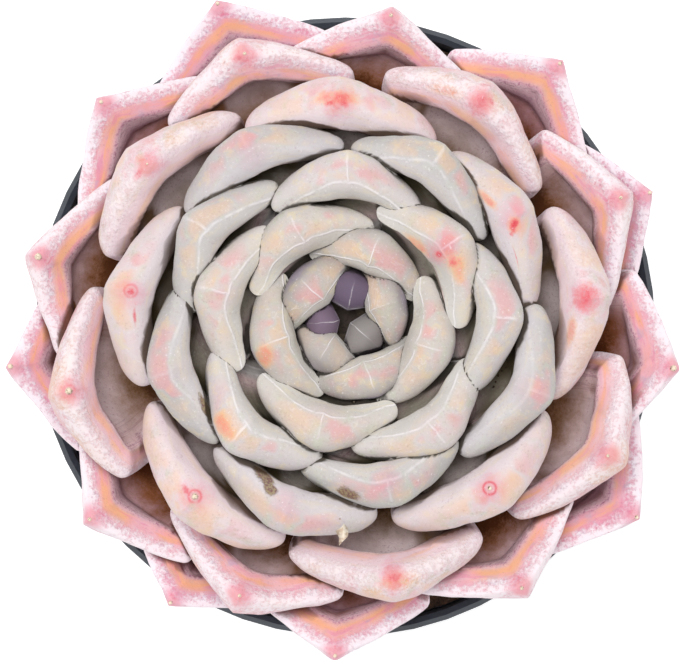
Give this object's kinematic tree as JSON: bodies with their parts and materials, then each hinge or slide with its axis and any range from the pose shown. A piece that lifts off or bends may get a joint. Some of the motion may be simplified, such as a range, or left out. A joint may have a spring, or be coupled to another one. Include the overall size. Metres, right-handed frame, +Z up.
{
  "type": "potted white bottle echeveria",
  "caption": "Thick-leaved succulent rosette on a short stem, rooted in soil in a round dark plastic nursery pot.",
  "frame": {"origin": "middle of the pot's flat underside", "axes": "+Z up along the pot's axis and the stem, +X and +Y to the right and the top of the picture"},
  "size_m": [0.1051, 0.1012, 0.1279],
  "materials": {
    "pot_plastic": "smooth, satin",
    "potting_soil": "gritty, matt",
    "stem_bark": "matt, scarred",
    "leaf_skin": "waxy bloom, soft sheen"
  },
  "bodies": {
    "root": {"pot": "pot_plastic", "soil": "potting_soil", "stem": "stem_bark", "leaf_00": "leaf_skin", "leaf_01": "leaf_skin", "leaf_02": "leaf_skin", "leaf_03": "leaf_skin", "leaf_04": "leaf_skin", "leaf_05": "leaf_skin", "leaf_06": "leaf_skin", "leaf_07": "leaf_skin", "leaf_08": "leaf_skin", "leaf_09": "leaf_skin", "leaf_10": "leaf_skin", "leaf_11": "leaf_skin", "leaf_12": "leaf_skin", "leaf_13": "leaf_skin", "leaf_14": "leaf_skin", "leaf_15": "leaf_skin", "leaf_16": "leaf_skin", "leaf_17": "leaf_skin", "leaf_18": "leaf_skin", "leaf_19": "leaf_skin", "leaf_20": "leaf_skin", "leaf_21": "leaf_skin", "leaf_22": "leaf_skin", "leaf_23": "leaf_skin", "leaf_24": "leaf_skin", "leaf_25": "leaf_skin", "leaf_26": "leaf_skin", "leaf_27": "leaf_skin", "leaf_28": "leaf_skin", "leaf_29": "leaf_skin", "leaf_30": "leaf_skin", "leaf_31": "leaf_skin", "leaf_32": "leaf_skin", "leaf_33": "leaf_skin", "leaf_34": "leaf_skin", "leaf_35": "leaf_skin", "leaf_36": "leaf_skin", "leaf_37": "leaf_skin", "leaf_38": "leaf_skin", "leaf_39": "leaf_skin", "leaf_40": "leaf_skin", "leaf_41": "leaf_skin", "leaf_42": "leaf_skin", "leaf_43": "leaf_skin", "leaf_44": "leaf_skin", "leaf_45": "leaf_skin", "leaf_46": "leaf_skin", "leaf_47": "leaf_skin", "leaf_48": "leaf_skin", "leaf_49": "leaf_skin", "leaf_50": "leaf_skin", "leaf_51": "leaf_skin"}
  },
  "joints": []
}
